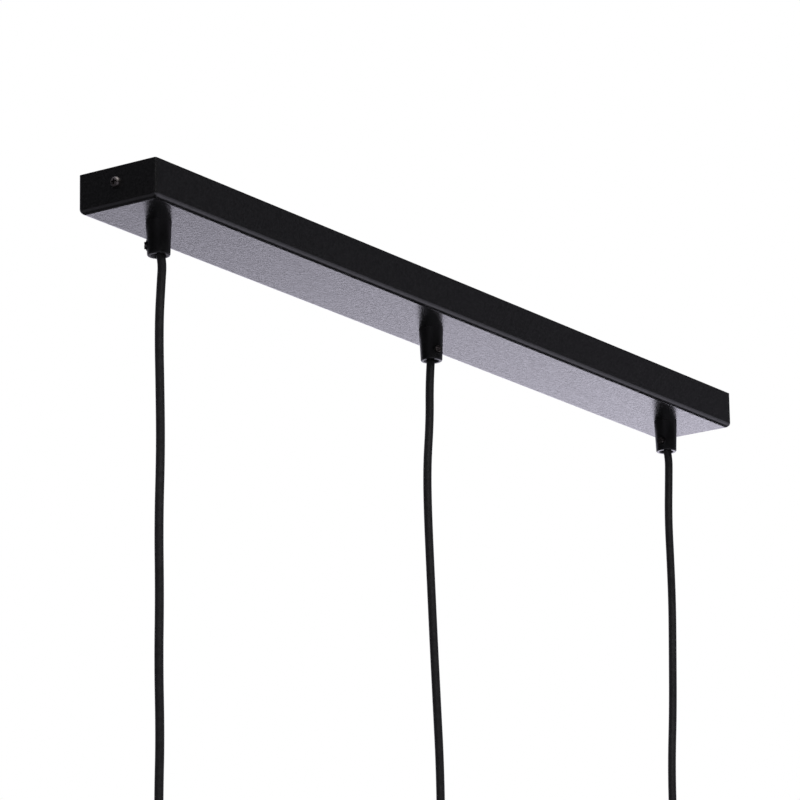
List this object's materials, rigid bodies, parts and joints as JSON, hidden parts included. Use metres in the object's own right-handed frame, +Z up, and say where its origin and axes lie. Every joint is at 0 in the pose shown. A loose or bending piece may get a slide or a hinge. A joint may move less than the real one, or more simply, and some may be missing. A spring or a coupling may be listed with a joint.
{
  "type": "linear island pendant",
  "caption": "Long flat box canopy with three cord drops in a row, each held in a conical cord grip and ending in a screw-cap lampholder.",
  "frame": {"origin": "centre of the ceiling plane: the back of the ceiling bracket and the canopy's top rim", "axes": "+X along the canopy, -Y its front, +Z up to the ceiling"},
  "size_m": [0.7056, 0.062, 0.475],
  "materials": {
    "black_powder_coat": "fine satin powder coat",
    "zinc_plated_steel": "bright zinc plate",
    "black_screw": "black passivated steel",
    "black_nylon": "moulded, satin",
    "natural_nylon": "moulded, natural white",
    "brass": "bare",
    "brown_insulation": "PVC",
    "blue_insulation": "PVC",
    "earth_insulation": "PVC, green with a yellow stripe",
    "black_cord": "PVC sheath, satin",
    "black_bakelite": "moulded, semi-gloss",
    "white_ceramic": "moulded heat-proof insert"
  },
  "bodies": {
    "fixture": {"canopy": "black_powder_coat", "ceiling_bracket": "zinc_plated_steel", "canopy_screws": "black_screw", "terminal_block": "natural_nylon", "terminal_inserts": "brass", "terminal_screws": "zinc_plated_steel", "block_fixing_screw": "zinc_plated_steel", "earth_ring_terminals": "brass", "earth_screw": "zinc_plated_steel", "earth_stud": "zinc_plated_steel", "earth_stud_nut": "zinc_plated_steel", "earth_lead_bracket": "earth_insulation", "earth_lead_canopy": "earth_insulation", "grip_left": "black_nylon", "grip_middle": "black_nylon", "grip_right": "black_nylon", "grip_washers": "zinc_plated_steel", "grip_nuts": "zinc_plated_steel", "clamped_cord_left": "black_cord", "clamped_cord_middle": "black_cord", "clamped_cord_right": "black_cord", "brown_cores": "brown_insulation", "blue_cores": "blue_insulation"},
    "clamp_left": {"set_screw_left": "black_screw"},
    "hanging_left": {"cord_left": "black_cord"},
    "lampholder_left": {"holder_shell_left": "black_bakelite", "holder_cap_left": "black_bakelite", "holder_insert_left": "white_ceramic", "holder_screws_left": "brass", "holder_cord_screw_left": "black_screw", "holder_brown_core_left": "brown_insulation", "holder_blue_core_left": "blue_insulation", "centre_contact_left": "brass", "side_contact_left": "brass"},
    "collar_left": {"shade_ring_left": "black_bakelite"},
    "clamp_middle": {"set_screw_middle": "black_screw"},
    "hanging_middle": {"cord_middle": "black_cord"},
    "lampholder_middle": {"holder_shell_middle": "black_bakelite", "holder_cap_middle": "black_bakelite", "holder_insert_middle": "white_ceramic", "holder_screws_middle": "brass", "holder_cord_screw_middle": "black_screw", "holder_brown_core_middle": "brown_insulation", "holder_blue_core_middle": "blue_insulation", "centre_contact_middle": "brass", "side_contact_middle": "brass"},
    "collar_middle": {"shade_ring_middle": "black_bakelite"},
    "clamp_right": {"set_screw_right": "black_screw"},
    "hanging_right": {"cord_right": "black_cord"},
    "lampholder_right": {"holder_shell_right": "black_bakelite", "holder_cap_right": "black_bakelite", "holder_insert_right": "white_ceramic", "holder_screws_right": "brass", "holder_cord_screw_right": "black_screw", "holder_brown_core_right": "brown_insulation", "holder_blue_core_right": "blue_insulation", "centre_contact_right": "brass", "side_contact_right": "brass"},
    "collar_right": {"shade_ring_right": "black_bakelite"}
  },
  "joints": [
    {"name": "set_screw_release_left", "type": "slide", "parent": "fixture", "child": "clamp_left", "axis": [-0.5736, 0.8192, 0], "range_m": [0, 0.002]},
    {"name": "swing_left", "type": "hinge", "parent": "fixture", "child": "hanging_left", "pos_m": [-0.30657, -0.00061, -0.047], "axis": [1, 0, 0], "range_deg": [-15, 15]},
    {"name": "height_left", "type": "slide", "parent": "hanging_left", "child": "lampholder_left", "axis": [0, 0, 1], "range_m": [0, 0.25], "deforming": ["cord_left"]},
    {"name": "shade_ring_turn_left", "type": "hinge", "parent": "lampholder_left", "child": "collar_left", "pos_m": [-0.30807, 0.00009, -0.4515], "axis": [0, 0, 1], "continuous": true},
    {"name": "set_screw_release_middle", "type": "slide", "parent": "fixture", "child": "clamp_middle", "axis": [-0.3746, -0.9272, 0], "range_m": [0, 0.002]},
    {"name": "swing_middle", "type": "hinge", "parent": "fixture", "child": "hanging_middle", "pos_m": [0.00028, 0.00069, -0.047], "axis": [1, 0, 0], "range_deg": [-15, 15]},
    {"name": "height_middle", "type": "slide", "parent": "hanging_middle", "child": "lampholder_middle", "axis": [0, 0, 1], "range_m": [0, 0.25], "deforming": ["cord_middle"]},
    {"name": "shade_ring_turn_middle", "type": "hinge", "parent": "lampholder_middle", "child": "collar_middle", "pos_m": [0.00078, -0.0002, -0.4515], "axis": [0, 0, 1], "continuous": true},
    {"name": "set_screw_release_right", "type": "slide", "parent": "fixture", "child": "clamp_right", "axis": [-0.9976, -0.0698, 0], "range_m": [0, 0.002]},
    {"name": "swing_right", "type": "hinge", "parent": "fixture", "child": "hanging_right", "pos_m": [0.30775, 0.00005, -0.047], "axis": [1, 0, 0], "range_deg": [-15, 15]},
    {"name": "height_right", "type": "slide", "parent": "hanging_right", "child": "lampholder_right", "axis": [0, 0, 1], "range_m": [0, 0.25], "deforming": ["cord_right"]},
    {"name": "shade_ring_turn_right", "type": "hinge", "parent": "lampholder_right", "child": "collar_right", "pos_m": [0.30155, 0.00085, -0.4515], "axis": [0, 0, 1], "continuous": true}
  ]
}
